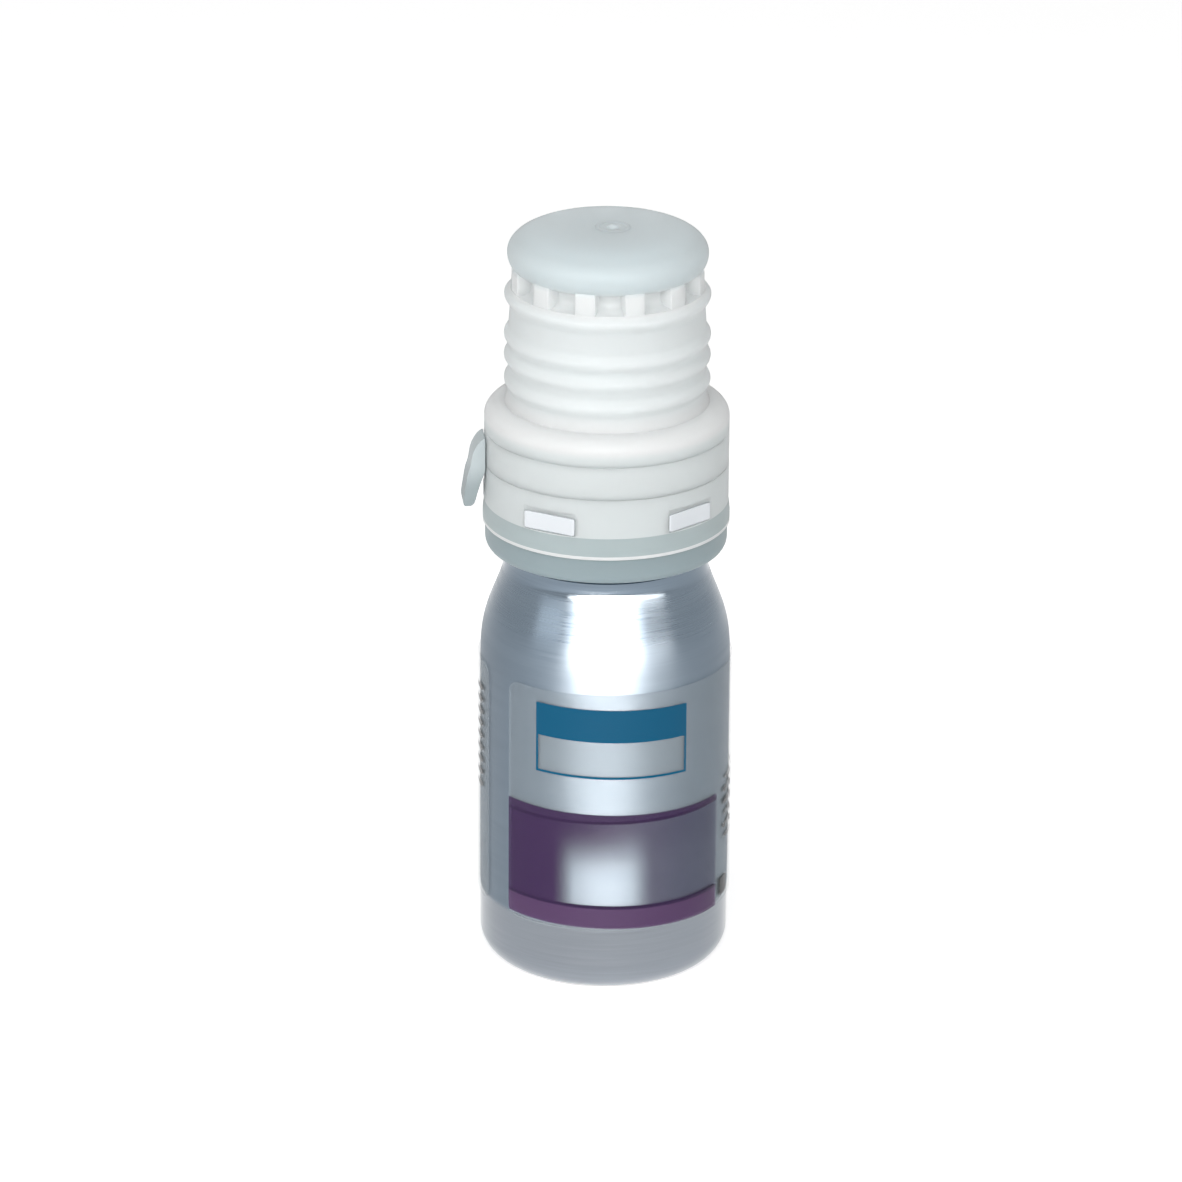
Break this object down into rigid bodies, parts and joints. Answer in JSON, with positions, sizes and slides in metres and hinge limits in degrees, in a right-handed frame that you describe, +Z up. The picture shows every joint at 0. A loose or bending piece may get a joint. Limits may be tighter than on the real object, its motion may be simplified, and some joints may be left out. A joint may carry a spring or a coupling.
{
  "type": "eye drop bottle",
  "caption": "Small aluminium eye drop bottle with a clip-on dropper pump, a tear band with a pull tab and a ribbed translucent pull-off cap.",
  "frame": {"origin": "on the table surface, on the bottle's own axis, 0.4 mm under the centre of the slightly hollow base", "axes": "+Z up along the bottle's axis, -Y is the side that the picture shows, +X to the right of it; the pull tab hangs at the left"},
  "size_m": [0.0271, 0.0254, 0.0767],
  "materials": {
    "satin_aluminium": "satin, fine horizontal brushing",
    "printed_film": "clear glossy film with a tinted print",
    "natural_plastic": "translucent natural polypropylene, soft gloss",
    "white_plastic": "white moulded polypropylene",
    "seal_rubber": "matt elastomer",
    "soft_liner": "soft translucent elastomer",
    "filter_membrane": "matt porous membrane",
    "spring_steel": "bright drawn wire",
    "ball_steel": "polished"
  },
  "bodies": {
    "root": {"bottle": "satin_aluminium", "label": "printed_film", "neck_gasket": "seal_rubber", "retaining_ring": "natural_plastic", "snap_collar": "white_plastic", "pump_housing": "white_plastic", "vent_filter": "filter_membrane", "intake_hood": "natural_plastic", "ball_cage": "white_plastic", "return_spring": "spring_steel"},
    "dropper": {"actuator": "white_plastic", "piston_stem": "white_plastic", "piston_seal": "soft_liner", "nozzle_tip": "white_plastic", "tip_spring_stop": "white_plastic", "tip_spring": "spring_steel"},
    "tip_valve": {"tip_valve_pin": "white_plastic"},
    "inlet_valve": {"inlet_ball": "ball_steel"},
    "tear_band": {"tear_band": "natural_plastic"},
    "pull_tab": {"pull_tab": "natural_plastic"},
    "cap": {"cap": "natural_plastic", "cap_liner": "soft_liner"}
  },
  "joints": [
    {"name": "dropper_press", "type": "slide", "parent": "root", "child": "dropper", "axis": [0, 0, -1], "range_m": [0, 0.0025], "stiffness_N_per_m": 1500, "springref_m": -0.002, "deforming": ["return_spring"]},
    {"name": "tip_valve_open", "type": "slide", "parent": "dropper", "child": "tip_valve", "axis": [0, 0, -1], "range_m": [0, 0.0003], "stiffness_N_per_m": 100, "springref_m": -0.0003, "deforming": ["tip_spring"]},
    {"name": "inlet_ball_lift", "type": "slide", "parent": "root", "child": "inlet_valve", "axis": [0, 0, 1], "range_m": [0, 0.0005]},
    {"name": "tear_band_lift", "type": "slide", "parent": "root", "child": "tear_band", "axis": [0, 0, 1], "range_m": [0, 0.02]},
    {"name": "pull_tab_lift", "type": "hinge", "parent": "tear_band", "child": "pull_tab", "pos_m": [-0.01218, -0.00128, 0.05545], "axis": [-0.1045, 0.9945, 0], "range_deg": [0, 75], "stiffness_Nm_per_rad": 0.002},
    {"name": "cap_pull", "type": "slide", "parent": "tear_band", "child": "cap", "axis": [0, 0, 1], "range_m": [0, 0.02]}
  ]
}
